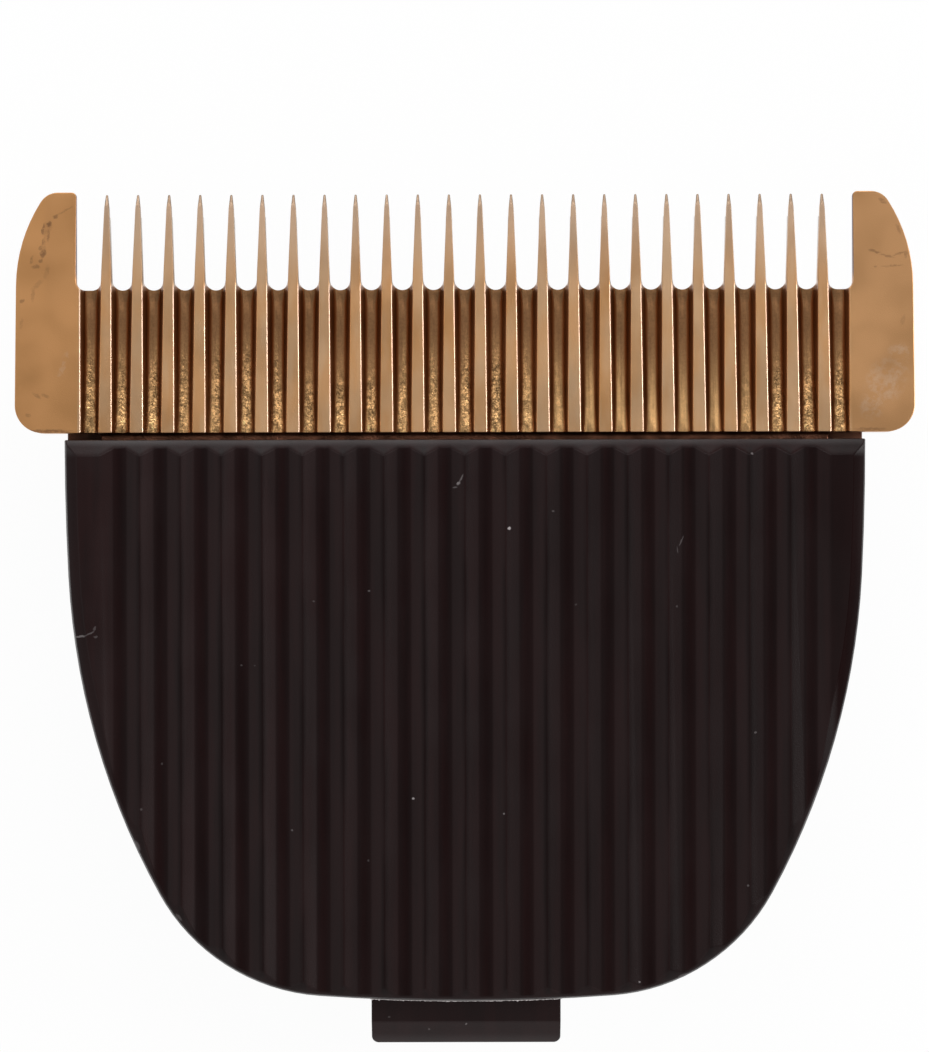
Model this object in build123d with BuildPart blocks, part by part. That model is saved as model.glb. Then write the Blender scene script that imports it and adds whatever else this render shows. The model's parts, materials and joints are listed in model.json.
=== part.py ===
from build123d import *
import os
from math import acos, asin, atan2, cos, degrees, hypot, pi, radians, sin, sqrt, tan

# Clip-on blade set of a hair clipper: ground comb, sliding cutter and fluted holder.
# Millimetres. +Y points to the tooth tips and +Z out of the fluted face. The back rim lies on Z = 0
# and the origin is under the middle of the outline.

os.makedirs("parts", exist_ok=True)

# Comb
tooth_count = 24
tooth_pitch = 1.563
tooth_root_width = 0.52
tooth_neck_width = 0.25
tooth_tip_width = 0.1
tooth_length = 4.8
tooth_point_length = 0.7
blade_depth = 12.0
comb_rear_thickness = 1.7
comb_tip_thickness = 0.36
tip_bevel_length = 0.6
tip_edge_thickness = 0.2
ear_width = 3.0
ear_gap_width = 0.74
ear_gap_radius = 0.4
ear_lead = 0.12
ear_curve_length = 4.7
ear_shoulder_inset = 1.53
ear_shoulder_radius = 1.0
ear_corner_radius = 0.25
ear_heel_radius = 1.4

# Grooves that a wheel grinds into the comb
wheel_radius = 60.0
groove_rear_depth = 0.5
groove_root_web = 0.12
groove_draft = 14.5
ridge_base_width = 0.9

# Flange of the comb under the holder
flange_thickness = 0.9
flange_depth = 8.0
flange_side_clearance = 0.2

# Holder
holder_half_width = 20.0
holder_length = 28.05
holder_height = 9.0
front_wall = 1.5
side_wall = 1.6
seam_gap = 0.35
side_radius = 131.0
side_bend_length = 6.8
flank_radius = 37.0
corner_radius = 9.9
rear_radius = 103.0
rim_edge_depth = 0.22
rim_edge_drop = 0.8
rim_slope_depth = 0.42
rim_slope_length = 0.4
back_chamfer = 0.4
front_chamfer_depth = 0.8
front_chamfer_drop = 0.55
lip_reach = 0.2
lip_overlap = 0.15
lip_gap = 0.05

# Flutes in the face of the holder
flute_count = 18
flute_pitch = 2.025
flute_floor_width = 0.5
flute_crest_width = 0.12
flute_depth = 0.27

# Tongue at the lower edge of the holder
tab_width = 9.6
tab_reach = 2.6
tab_drop = 4.2
tab_thickness = 2.0
tab_lead_length = 1.15
tab_edge_thickness = 1.1
tab_corner_radius = 0.35

# Screws, bosses and guide plate
screw_wall_distance = 4.2
screw_radius = 1.0
screw_head_overhang = 0.9
screw_head_height = 1.2
screw_head_chamfer = 0.45
screw_slot_width = 0.4
screw_slot_length = 2.2
screw_slot_depth = 0.6
screw_end_gap = 0.1
screw_skin = 0.8
thread_clearance = 0.03
boss_wall = 1.1
boss_clearance = 0.1
boss_relief = 0.05
guide_thickness = 0.7
guide_overhang = 0.35
guide_inset = 0.3
guide_rear_inset = 1.0
guide_hole_clearance = 0.15

# Cutter
running_gap = 0.02
heel_gap = 0.1
cutter_stroke = 1.5
cutter_thickness = 1.2
cutter_tip_thickness = 0.32
cutter_setback = 1.1
cutter_bevel_start = 4.2
cutter_tooth_length = 4.5
cutter_root_width = 0.46
cutter_tip_width = 0.28
cutter_side_margin = 0.45

# Drive yoke
drive_slot_width = 4.6
prong_thickness = 1.8
prong_length = 8.0
prong_rim_gap = 0.9
prong_clearance = 0.4
prong_end_radius = 0.8
yoke_bridge = 1.7
pad_depth = 3.3
pad_margin = 0.4
pad_thickness = 1.5
pad_corner_radius = 0.8
pin_x = 7.0
pin_radius = 1.0
pin_clearance = 0.02
pin_relief = 0.2

# Tension spring and what holds it
wire_radius = 0.35
wire_sides = 6
coil_radius = 1.55
coil_turns = 2
coil_turn_gap = 0.06
coil_steps = 26
coil_flange_distance = 4.6
coil_roof_gap = 1.0
spring_gap = 0.05
leg_length = 6.0
leg_rise = 0.6
leg_bend = 0.6
arm_reach = 2.2
peg_clearance = 0.2
peg_overhang = 0.5
cheek_gap = 0.2
cheek_thickness = 1.0
cheek_margin = 0.9
hook_x = 2.4
hook_width = 1.2
hook_depth = 2.2

# Stiffening ribs inside the holder
stiffener_count = 3
stiffener_spacing = 8.0
stiffener_width = 0.9
stiffener_height = 0.8
stiffener_gap = 1.2

# How far cutting shapes overshoot, and how deep joined shapes sink into each other
cut_margin = 1.0
join_depth = 0.5

# Levels
seat_z = holder_height - front_wall
mating_z = seat_z - flange_thickness
guide_z = mating_z - guide_thickness
cutter_top_z = mating_z - running_gap
cutter_bottom_z = cutter_top_z - cutter_thickness
pad_z = cutter_bottom_z - pad_thickness
wire_z = pad_z - spring_gap - wire_radius
coil_z = seat_z - coil_roof_gap - wire_radius - coil_radius
bridge_z = wire_z + leg_rise
hook_z = bridge_z + wire_radius + spring_gap
tab_top_z = holder_height - tab_drop
tab_base_z = tab_top_z - tab_thickness
prong_top_z = min(cutter_bottom_z, guide_z - prong_clearance)

# Stations along Y
seam_y = (seam_gap + holder_length + tab_reach - blade_depth - ear_lead) / 2
tip_y = seam_y + blade_depth
root_y = tip_y - tooth_length
ear_top_y = tip_y + ear_lead
ear_bend_y = ear_top_y - ear_curve_length
flange_rear_y = seam_y - flange_depth
front_y = seam_y - seam_gap
rear_y = front_y - holder_length
tab_end_y = rear_y - tab_reach
tab_root_y = rear_y + side_wall / 2
screw_y = seam_y - flange_depth / 2
guide_front_y = seam_y + guide_overhang
guide_rear_y = flange_rear_y + guide_rear_inset
heel_y = guide_front_y + heel_gap
cutter_tip_y = tip_y - cutter_setback
cutter_root_y = cutter_tip_y - cutter_tooth_length
pad_front_y = seam_y + cutter_bevel_start
pad_rear_y = pad_front_y - pad_depth
pin_y = (heel_y + pad_front_y) / 2
fork_rear_y = pad_rear_y - prong_length
arm_y = seam_y + arm_reach
coil_y = flange_rear_y - coil_flange_distance
hook_y = coil_y - leg_length
stiffener_front_y = hook_y - hook_depth / 2 - stiffener_gap
stiffener_rear_y = rear_y + side_wall / 2

# Widths
gap_tip_width = tooth_pitch - tooth_tip_width
gap_reach = tooth_pitch * tooth_count / 2
ear_inner_x = gap_reach + ear_gap_width
blade_half_width = ear_inner_x + ear_width
cutter_half_width = tooth_pitch * (tooth_count - 1) / 2 + cutter_side_margin
screw_x = holder_half_width - side_wall - screw_wall_distance
screw_spots = [(-screw_x, screw_y), (screw_x, screw_y)]
pin_spots = [(-pin_x, pin_y), (pin_x, pin_y)]
boss_radius = screw_radius + boss_wall
flute_width = flute_pitch - flute_crest_width
lip_inner_x = holder_half_width - side_wall - flange_side_clearance - lip_overlap
fork_half_width = drive_slot_width / 2 + prong_thickness
cheek_x = fork_half_width + cutter_stroke + cheek_gap
peg_start_x = cheek_x + cheek_thickness
peg_radius = coil_radius - wire_radius - peg_clearance
coil_start_x = peg_start_x + spring_gap + wire_radius
coil_pitch = 2 * wire_radius + coil_turn_gap

# Tangent points of the spring's arms and legs on its coils
arm_distance = hypot(arm_y - coil_y, wire_z - coil_z)
arm_length = sqrt(arm_distance**2 - coil_radius**2)
arm_angle = atan2(wire_z - coil_z, arm_y - coil_y) - acos(coil_radius / arm_distance)
leg_distance = hypot(leg_length, bridge_z - coil_z)
leg_run = sqrt(leg_distance**2 - coil_radius**2)
leg_angle = atan2(bridge_z - coil_z, -leg_length) + acos(coil_radius / leg_distance) - 2 * pi
coil_sweep = coil_turns + (arm_angle - leg_angle) / (2 * pi)
coil_height = coil_sweep * coil_pitch
arm_x = coil_start_x + coil_height + arm_length * coil_pitch / (2 * pi * coil_radius)
pad_half_width = arm_x + wire_radius + cutter_stroke + pad_margin
peg_length = coil_height + 2 * wire_radius + peg_overhang


def ridge_z(y):
    """Height of the sloping top of the comb."""
    fall = (comb_rear_thickness - comb_tip_thickness) / blade_depth
    return mating_z + comb_rear_thickness - fall * (y - seam_y)


def holder_plan(inset, front):
    """Plan of the holder, moved inwards by inset and drawn up to the line y = front."""
    side_angle = asin(side_bend_length / side_radius)
    side_x = holder_half_width - side_radius
    flank_x = side_x + (side_radius - flank_radius) * cos(side_angle)
    flank_y = front_y - (side_radius - flank_radius) * sin(side_angle)
    rear_centre_y = rear_y + rear_radius
    flank_reach = flank_radius - corner_radius
    rear_reach = rear_radius - corner_radius
    span = hypot(flank_x, rear_centre_y - flank_y)
    bearing = atan2(rear_centre_y - flank_y, -flank_x)
    swing = acos((flank_reach**2 + span**2 - rear_reach**2) / (2 * flank_reach * span))
    corner_x = flank_x + flank_reach * cos(bearing - swing)
    corner_y = flank_y + flank_reach * sin(bearing - swing)
    flank_end = -atan2(corner_y - flank_y, corner_x - flank_x)
    corner_end = -atan2(corner_y - rear_centre_y, corner_x)
    half_width = holder_half_width - inset
    arcs = [
        ((side_x, front_y), side_radius, 0, side_angle),
        ((flank_x, flank_y), flank_radius, side_angle, flank_end),
        ((corner_x, corner_y), corner_radius, flank_end, corner_end),
        ((0, rear_centre_y), rear_radius, corner_end, pi / 2),
    ]
    with BuildSketch() as plan:
        with BuildLine():
            Line((0, front), (half_width, front))
            if front > front_y:
                Line((half_width, front), (half_width, front_y))
            for centre, radius, start, end in arcs:
                CenterArc(centre, radius - inset, -degrees(start), degrees(start - end))
            mirror(about=Plane.YZ)
        make_face()
    return plan.sketch


def cavity_strip(inset, rear, front):
    """The stretch of the holder's cavity between two Y stations, moved inwards by inset."""
    with BuildSketch() as strip:
        add(holder_plan(side_wall + inset, max(front, front_y)))
        with Locations((0, (rear + front) / 2)):
            Rectangle(2 * holder_half_width, front - rear, mode=Mode.INTERSECT)
    return strip.sketch


# Comb: the coated steel blade that is seen from the front
ear_rise = ear_top_y - ear_bend_y
ear_radius = (ear_rise**2 + ear_shoulder_inset**2) / (2 * ear_shoulder_inset)
ear_angle = 2 * atan2(ear_shoulder_inset, ear_rise)
ear_shoulder_x = blade_half_width - ear_shoulder_inset
ear_flat = ear_shoulder_x - ear_inner_x
gap_root_radius = (tooth_pitch - tooth_root_width) / 2
gap_neck_width = tooth_pitch - tooth_neck_width
groove_floor_width = tooth_pitch - ridge_base_width
floor_rear_z = mating_z + comb_rear_thickness - groove_rear_depth
floor_root_z = mating_z + groove_root_web
chord_y = root_y - seam_y
chord_z = floor_root_z - floor_rear_z
chord = hypot(chord_y, chord_z)
sag_reach = sqrt(wheel_radius**2 - (chord / 2) ** 2)
wheel_y = (root_y + seam_y) / 2 - sag_reach * chord_z / chord
wheel_z = (floor_root_z + floor_rear_z) / 2 + sag_reach * chord_y / chord
groove_spread = comb_rear_thickness * tan(radians(groove_draft))
groove_plane = Plane((0, root_y, floor_root_z), x_dir=(1, 0, 0), z_dir=(0, chord_y, chord_z))

with BuildSketch() as tooth_gap:
    with BuildLine():
        ThreePointArc(
            (-gap_root_radius, root_y + gap_root_radius),
            (0, root_y),
            (gap_root_radius, root_y + gap_root_radius),
        )
        Polyline(
            (gap_root_radius, root_y + gap_root_radius),
            (gap_neck_width / 2, tip_y - tooth_point_length),
            (gap_tip_width / 2, tip_y),
            (gap_tip_width / 2, ear_top_y + cut_margin),
            (0, ear_top_y + cut_margin),
        )
        mirror(about=Plane.YZ)
    make_face()

with BuildSketch() as ear_gap:
    with Locations((gap_reach, root_y)):
        Rectangle(ear_gap_width, ear_top_y + cut_margin - root_y, align=(Align.MIN, Align.MIN))
    fillet(ear_gap.vertices().group_by(Axis.Y)[0].sort_by(Axis.X)[-1], ear_gap_radius)
    mirror(about=Plane.YZ)

with BuildPart() as groove:
    with BuildSketch(groove_plane):
        with BuildLine():
            Polyline(
                (-groove_floor_width / 2 - groove_spread, -comb_rear_thickness),
                (groove_floor_width / 2 + groove_spread, -comb_rear_thickness),
                (groove_floor_width / 2 - groove_spread / 2, comb_rear_thickness / 2),
                (-groove_floor_width / 2 + groove_spread / 2, comb_rear_thickness / 2),
                close=True,
            )
        make_face()
    extrude(amount=chord + cut_margin, both=True)
    with BuildSketch(Plane.YZ):
        with Locations((wheel_y, wheel_z)):
            Circle(wheel_radius)
    extrude(amount=tooth_pitch, both=True, mode=Mode.INTERSECT)

with BuildPart() as fixed_blade:
    with BuildSketch(Plane.XY.offset(mating_z)) as comb_plan:
        with BuildLine():
            Polyline((0, tip_y), (gap_reach, tip_y), (gap_reach, ear_top_y), (ear_shoulder_x, ear_top_y))
            JernArc((blade_half_width, ear_bend_y), (0, 1), ear_radius, degrees(ear_angle))
            Polyline((blade_half_width, ear_bend_y), (blade_half_width, seam_y), (0, seam_y))
            mirror(about=Plane.YZ)
        make_face()
        shoulders = comb_plan.vertices().group_by(Axis.Y)[-1].filter_by(lambda v: abs(v.X) > ear_inner_x)
        fillet(shoulders, min(ear_shoulder_radius, ear_flat))
        heels = comb_plan.vertices().group_by(Axis.Y)[0].filter_by(lambda v: abs(v.X) > ear_inner_x)
        fillet(heels, ear_heel_radius)
    extrude(amount=comb_rear_thickness + cut_margin)
    with BuildSketch(Plane.YZ):
        with BuildLine():
            Polyline(
                (seam_y - cut_margin, ridge_z(seam_y - cut_margin)),
                (ear_top_y + cut_margin, ridge_z(ear_top_y + cut_margin)),
                (ear_top_y + cut_margin, ridge_z(seam_y) + 2 * cut_margin),
                (seam_y - cut_margin, ridge_z(seam_y) + 2 * cut_margin),
                close=True,
            )
        make_face()
    extrude(amount=blade_half_width + cut_margin, both=True, mode=Mode.SUBTRACT)
    with BuildSketch(Plane.YZ):
        with BuildLine():
            Polyline(
                (tip_y - tip_bevel_length, ridge_z(tip_y - tip_bevel_length)),
                (tip_y, mating_z + tip_edge_thickness),
                (tip_y, ridge_z(tip_y - tip_bevel_length)),
                close=True,
            )
        make_face()
    extrude(amount=gap_reach, both=True, mode=Mode.SUBTRACT)
    with BuildSketch(Plane.XY.offset(mating_z - cut_margin)):
        with GridLocations(tooth_pitch, 1, tooth_count + 1, 1):
            add(tooth_gap.sketch)
        add(ear_gap.sketch)
    extrude(amount=comb_rear_thickness + 3 * cut_margin, mode=Mode.SUBTRACT)
    ear_tops = fixed_blade.edges().filter_by(Axis.Z).group_by(Axis.Y)[-1]
    fillet(ear_tops.sort_by(lambda e: abs(e.center().X))[:2], ear_corner_radius)
    with GridLocations(tooth_pitch, 1, tooth_count + 1, 1):
        add(groove.part, mode=Mode.SUBTRACT)
    with BuildSketch(Plane.XY.offset(mating_z)):
        add(cavity_strip(flange_side_clearance, flange_rear_y, seam_y + join_depth))
        with Locations(*screw_spots):
            Circle(boss_radius + boss_clearance, mode=Mode.SUBTRACT)
    extrude(amount=flange_thickness)
fixed_blade.part.label = "fixed_blade"
export_step(fixed_blade.part, "parts/fixed_blade.step")

# Holder: the fluted black moulding with its open back
with BuildSketch() as flute:
    with BuildLine():
        Polyline(
            (-flute_width / 2, flute_depth),
            (-flute_width / 2, 0),
            (-flute_floor_width / 2, -flute_depth),
            (flute_floor_width / 2, -flute_depth),
            (flute_width / 2, 0),
            (flute_width / 2, flute_depth),
            close=True,
        )
    make_face()

with BuildPart() as holder:
    with BuildSketch(Plane.XY):
        add(holder_plan(0, front_y))
    extrude(amount=holder_height)
    face = holder.faces().sort_by(Axis.Z)[-1]
    chamfer(face.edges().filter_by(GeomType.CIRCLE), rim_edge_depth, rim_edge_drop, reference=face)
    face = holder.faces().sort_by(Axis.Z)[-1]
    chamfer(face.edges().filter_by(GeomType.CIRCLE), rim_slope_depth, rim_slope_length, reference=face)
    chamfer(holder.edges().group_by(Axis.Z)[0].filter_by(GeomType.CIRCLE), back_chamfer)
    with BuildSketch(Plane.YZ):
        with BuildLine():
            Polyline(
                (front_y - front_chamfer_depth, holder_height),
                (front_y, holder_height - front_chamfer_drop),
                (front_y + cut_margin, holder_height - front_chamfer_drop),
                (front_y + cut_margin, holder_height + cut_margin),
                (front_y - front_chamfer_depth, holder_height + cut_margin),
                close=True,
            )
        make_face()
    extrude(amount=holder_half_width + cut_margin, both=True, mode=Mode.SUBTRACT)
    with BuildSketch(Plane.XZ.offset(-front_y - cut_margin)):
        with Locations((0, holder_height)):
            with GridLocations(flute_pitch, 1, flute_count, 1):
                add(flute.sketch)
    extrude(amount=holder_length + 2 * cut_margin, mode=Mode.SUBTRACT)
    with BuildSketch(Plane.XY):
        add(holder_plan(side_wall, front_y + cut_margin))
    extrude(amount=seat_z, mode=Mode.SUBTRACT)
    with BuildSketch(Plane.XY):
        with Locations((lip_inner_x, front_y - join_depth)):
            Rectangle(
                holder_half_width - lip_inner_x,
                join_depth + seam_gap + lip_reach,
                align=(Align.MIN, Align.MIN),
            )
        mirror(about=Plane.YZ)
    extrude(amount=mating_z - lip_gap)
    with BuildSketch(Plane.XY.offset(mating_z + boss_relief)):
        with Locations(*screw_spots):
            Circle(boss_radius)
    extrude(amount=flange_thickness)
    with BuildSketch(Plane.XY.offset(mating_z)):
        with Locations(*screw_spots):
            Circle(screw_radius + thread_clearance)
    extrude(amount=holder_height - mating_z - screw_skin, mode=Mode.SUBTRACT)
    for side in (-1, 1):
        with BuildSketch(Plane.YZ.offset(side * cheek_x)):
            with Locations((coil_y, coil_z)):
                Circle(peg_radius + cheek_margin)
            with Locations((coil_y, (coil_z + seat_z + join_depth) / 2)):
                Rectangle(2 * (peg_radius + cheek_margin), seat_z + join_depth - coil_z)
        extrude(amount=side * cheek_thickness)
        with BuildSketch(Plane.YZ.offset(side * peg_start_x)):
            with Locations((coil_y, coil_z)):
                Circle(peg_radius)
        extrude(amount=side * peg_length)
    with BuildSketch(Plane.XY.offset(hook_z)):
        with Locations((-hook_x, hook_y), (hook_x, hook_y)):
            Rectangle(hook_width, hook_depth)
    extrude(amount=seat_z + join_depth - hook_z)
    with BuildSketch(Plane.XY.offset(seat_z - stiffener_height)):
        with Locations((0, (stiffener_front_y + stiffener_rear_y) / 2)):
            with GridLocations(stiffener_spacing, 1, stiffener_count, 1):
                Rectangle(stiffener_width, stiffener_front_y - stiffener_rear_y)
    extrude(amount=stiffener_height + join_depth)
    with BuildSketch(Plane.YZ):
        with BuildLine():
            Polyline(
                (tab_root_y, tab_base_z),
                (tab_end_y, tab_base_z),
                (tab_end_y, tab_base_z + tab_edge_thickness),
                (tab_end_y + tab_lead_length, tab_top_z),
                (tab_root_y, tab_top_z),
                close=True,
            )
        make_face()
    extrude(amount=tab_width / 2, both=True)
    fillet(holder.edges().filter_by(Axis.Z).group_by(Axis.Y)[0], tab_corner_radius)
holder.part.label = "holder"
export_step(holder.part, "parts/holder.step")

# Cutter: the ceramic blade that slides behind the comb
cutter_gap_root = tooth_pitch - cutter_root_width
cutter_gap_tip = tooth_pitch - cutter_tip_width

with BuildSketch() as cutter_gap:
    with BuildLine():
        Polyline(
            (-cutter_gap_root / 2, cutter_root_y),
            (cutter_gap_root / 2, cutter_root_y),
            (cutter_gap_tip / 2, cutter_tip_y + cut_margin),
            (-cutter_gap_tip / 2, cutter_tip_y + cut_margin),
            close=True,
        )
    make_face()

with BuildPart() as moving_blade:
    with BuildSketch(Plane.YZ):
        with BuildLine():
            Polyline(
                (heel_y, cutter_top_z),
                (cutter_tip_y, cutter_top_z),
                (cutter_tip_y, cutter_top_z - cutter_tip_thickness),
                (pad_front_y, cutter_bottom_z),
                (heel_y, cutter_bottom_z),
                close=True,
            )
        make_face()
    extrude(amount=cutter_half_width, both=True)
    with BuildSketch(Plane.XY.offset(cutter_bottom_z - cut_margin)):
        with GridLocations(tooth_pitch, 1, tooth_count + 1, 1):
            add(cutter_gap.sketch)
        with Locations(*pin_spots):
            Circle(pin_radius + pin_clearance)
    extrude(amount=cutter_thickness + 2 * cut_margin, mode=Mode.SUBTRACT)
moving_blade.part.label = "moving_blade"
export_step(moving_blade.part, "parts/moving_blade.step")

# Drive yoke: the carriage with the fork for the drive pin
with BuildPart() as drive_yoke:
    with BuildSketch(Plane.XY.offset(pad_z)) as pad_plan:
        with Locations((0, (pad_front_y + pad_rear_y) / 2)):
            Rectangle(2 * pad_half_width, pad_depth)
        chamfer(pad_plan.vertices(), pad_corner_radius)
    extrude(amount=pad_thickness)
    with BuildSketch(Plane.XY.offset(prong_rim_gap)):
        with Locations((0, pad_rear_y + yoke_bridge / 2)):
            Rectangle(2 * fork_half_width, yoke_bridge)
    extrude(amount=cutter_bottom_z - prong_rim_gap)
    with BuildSketch(Plane.XY.offset(prong_rim_gap)) as prong_plan:
        with Locations((0, (pad_rear_y + fork_rear_y) / 2)):
            Rectangle(2 * fork_half_width, prong_length)
            Rectangle(drive_slot_width, prong_length, mode=Mode.SUBTRACT)
        fillet(prong_plan.vertices().group_by(Axis.Y)[0], prong_end_radius)
    extrude(amount=prong_top_z - prong_rim_gap)
    with BuildSketch(Plane.XY.offset(cutter_bottom_z)):
        with Locations(*pin_spots):
            Circle(pin_radius)
    extrude(amount=cutter_thickness - pin_relief)
drive_yoke.part.label = "drive_yoke"
export_step(drive_yoke.part, "parts/drive_yoke.step")

# Guide plate: clamped on the flange, its front edge guides the heel of the cutter
with BuildPart() as guide_plate:
    with BuildSketch(Plane.XY.offset(guide_z)):
        add(cavity_strip(flange_side_clearance + guide_inset, guide_rear_y, guide_front_y))
        with Locations(*screw_spots):
            Circle(screw_radius + guide_hole_clearance, mode=Mode.SUBTRACT)
    extrude(amount=guide_thickness)
guide_plate.part.label = "guide_plate"
export_step(guide_plate.part, "parts/guide_plate.step")

# Screws: two equal pan heads with a cross recess
with BuildPart() as blade_screws:
    with BuildSketch(Plane.XY.offset(guide_z - screw_head_height)):
        with Locations(*screw_spots):
            Circle(screw_radius + screw_head_overhang)
    extrude(amount=screw_head_height)
    chamfer(blade_screws.edges().group_by(Axis.Z)[0], screw_head_chamfer)
    with BuildSketch(Plane.XY.offset(guide_z)):
        with Locations(*screw_spots):
            Circle(screw_radius)
    extrude(amount=holder_height - guide_z - screw_skin - screw_end_gap)
    with BuildSketch(Plane.XY.offset(guide_z - screw_head_height)):
        with Locations(*screw_spots):
            Rectangle(screw_slot_length, screw_slot_width)
            Rectangle(screw_slot_width, screw_slot_length)
    extrude(amount=screw_slot_depth, mode=Mode.SUBTRACT)
blade_screws.part.label = "blade_screws"
export_step(blade_screws.part, "parts/blade_screws.step")

# Tension spring: two coils on the pegs, arms under the yoke, a bridge under the hooks
coil_step = coil_sweep * 2 * pi / coil_steps
bend_radius = coil_radius / cos(coil_step / 2)
leg_x = coil_start_x - leg_run * coil_pitch / (2 * pi * coil_radius)
leg_end = Vector(leg_x, hook_y, bridge_z)
coil_bends = []
for step in range(coil_steps):
    share = (step + 1 / 2) / coil_steps
    angle = leg_angle + share * coil_sweep * 2 * pi
    bend_y = coil_y + bend_radius * cos(angle)
    bend_z = coil_z + bend_radius * sin(angle)
    coil_bends.append(Vector(coil_start_x + share * coil_height, bend_y, bend_z))
leg_direction = (coil_bends[0] - leg_end).normalized()
bridge_middle = Vector(0, hook_y, bridge_z)
bridge_end = Vector(leg_x - leg_bend, hook_y, bridge_z)
arm_end = Vector(arm_x, arm_y, wire_z)

with BuildPart() as tension_spring:
    with BuildLine():
        Polyline(bridge_middle, bridge_end, leg_end + leg_direction * leg_bend, *coil_bends, arm_end)
    with BuildSketch(Plane(bridge_middle, x_dir=(0, 1, 0), z_dir=(1, 0, 0))):
        RegularPolygon(wire_radius, wire_sides)
    sweep(transition=Transition.RIGHT)
    mirror(about=Plane.YZ)
tension_spring.part.label = "tension_spring"
export_step(tension_spring.part, "parts/tension_spring.step")
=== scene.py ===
import json
from math import acos, atan2, cos, pi, radians, sin, sqrt, tan
from random import Random

import bmesh
import bpy
from bpy.props import FloatProperty, FloatVectorProperty, IntProperty, PointerProperty
from bpy.types import Operator, Panel, PropertyGroup
from mathutils import Matrix, Vector

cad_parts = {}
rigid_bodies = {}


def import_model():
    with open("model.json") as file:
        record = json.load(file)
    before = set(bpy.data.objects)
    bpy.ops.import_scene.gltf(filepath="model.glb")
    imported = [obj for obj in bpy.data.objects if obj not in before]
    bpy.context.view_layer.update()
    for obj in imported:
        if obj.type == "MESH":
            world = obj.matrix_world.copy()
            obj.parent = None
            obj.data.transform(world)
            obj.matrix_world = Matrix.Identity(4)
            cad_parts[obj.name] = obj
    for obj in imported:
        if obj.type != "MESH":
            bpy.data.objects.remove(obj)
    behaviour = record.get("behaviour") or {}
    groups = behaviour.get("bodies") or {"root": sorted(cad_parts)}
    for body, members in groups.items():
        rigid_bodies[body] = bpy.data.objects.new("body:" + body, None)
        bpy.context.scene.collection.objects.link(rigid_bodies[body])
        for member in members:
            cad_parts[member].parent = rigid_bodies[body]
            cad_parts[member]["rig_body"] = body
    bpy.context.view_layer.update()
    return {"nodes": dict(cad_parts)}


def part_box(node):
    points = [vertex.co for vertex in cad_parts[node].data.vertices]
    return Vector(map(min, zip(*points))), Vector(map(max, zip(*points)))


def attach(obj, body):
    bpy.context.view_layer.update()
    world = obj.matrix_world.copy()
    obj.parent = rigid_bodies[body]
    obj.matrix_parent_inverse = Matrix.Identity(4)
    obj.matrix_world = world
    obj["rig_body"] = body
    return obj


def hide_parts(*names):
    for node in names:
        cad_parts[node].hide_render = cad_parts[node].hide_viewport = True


# What the start-up file holds goes first, so that only the blade set is in the scene
for leftover in list(bpy.data.objects):
    bpy.data.objects.remove(leftover)
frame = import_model()

bl_info = {
    "name": "Clipper blade finish",
    "version": (1, 0, 0),
    "blender": (4, 5, 0),
    "location": "View3D > Sidebar > Clipper blade",
    "description": "Finishes the solids of a hair clipper blade and sets its studio",
    "category": "Object",
}

# Sizes of the blade set in millimetres, as the solids have them
MM = 0.001
BLADE_DEPTH = 12.0
EAR_LEAD = 0.12
TOOTH_LENGTH = 4.8
TOOTH_PITCH = 1.563
COMB_DROP = 1.34
TONGUE_REACH = 2.6
REAR_RADIUS = 103.0
FLUTE_COUNT = 18
FLUTE_PITCH = 2.025
FLUTE_SLOPE = 0.38
FLUTE_DEPTH = 0.27

# Stations that follow from them
COMB_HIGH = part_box("fixed_blade")[1] / MM
HOLDER_LOW, HOLDER_HIGH = (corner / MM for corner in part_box("holder"))
COMB_TOP_Z = COMB_HIGH.z
COMB_FALL = COMB_DROP / BLADE_DEPTH
TIP_Y = COMB_HIGH.y - EAR_LEAD
ROOT_Y = TIP_Y - TOOTH_LENGTH
SEAM_Y = TIP_Y - BLADE_DEPTH
REAR_Y = HOLDER_LOW.y + TONGUE_REACH
FLUTED_X = FLUTE_COUNT * FLUTE_PITCH / 2

# Where the finishes change, in millimetres
EAR_START_X = 19.35
SHINE_REACH = 18.0

# Scales of the comb's coat for each millimetre, and the range of its roughness
CLOUD_SCALE = 0.32
GRAIN_SCALE = 30.0
SATIN = (0.36, 0.46)

# How the edges of a solid are found and rounded
MERGE_GAP = 0.012 * MM
FLAT_ANGLE = radians(0.4)
HOLLOW_ANGLE = radians(-40)
EDGE_ANGLE = radians(25)
HOLLOW_SEGMENTS = 3
EDGE_SEGMENTS = 2

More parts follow.
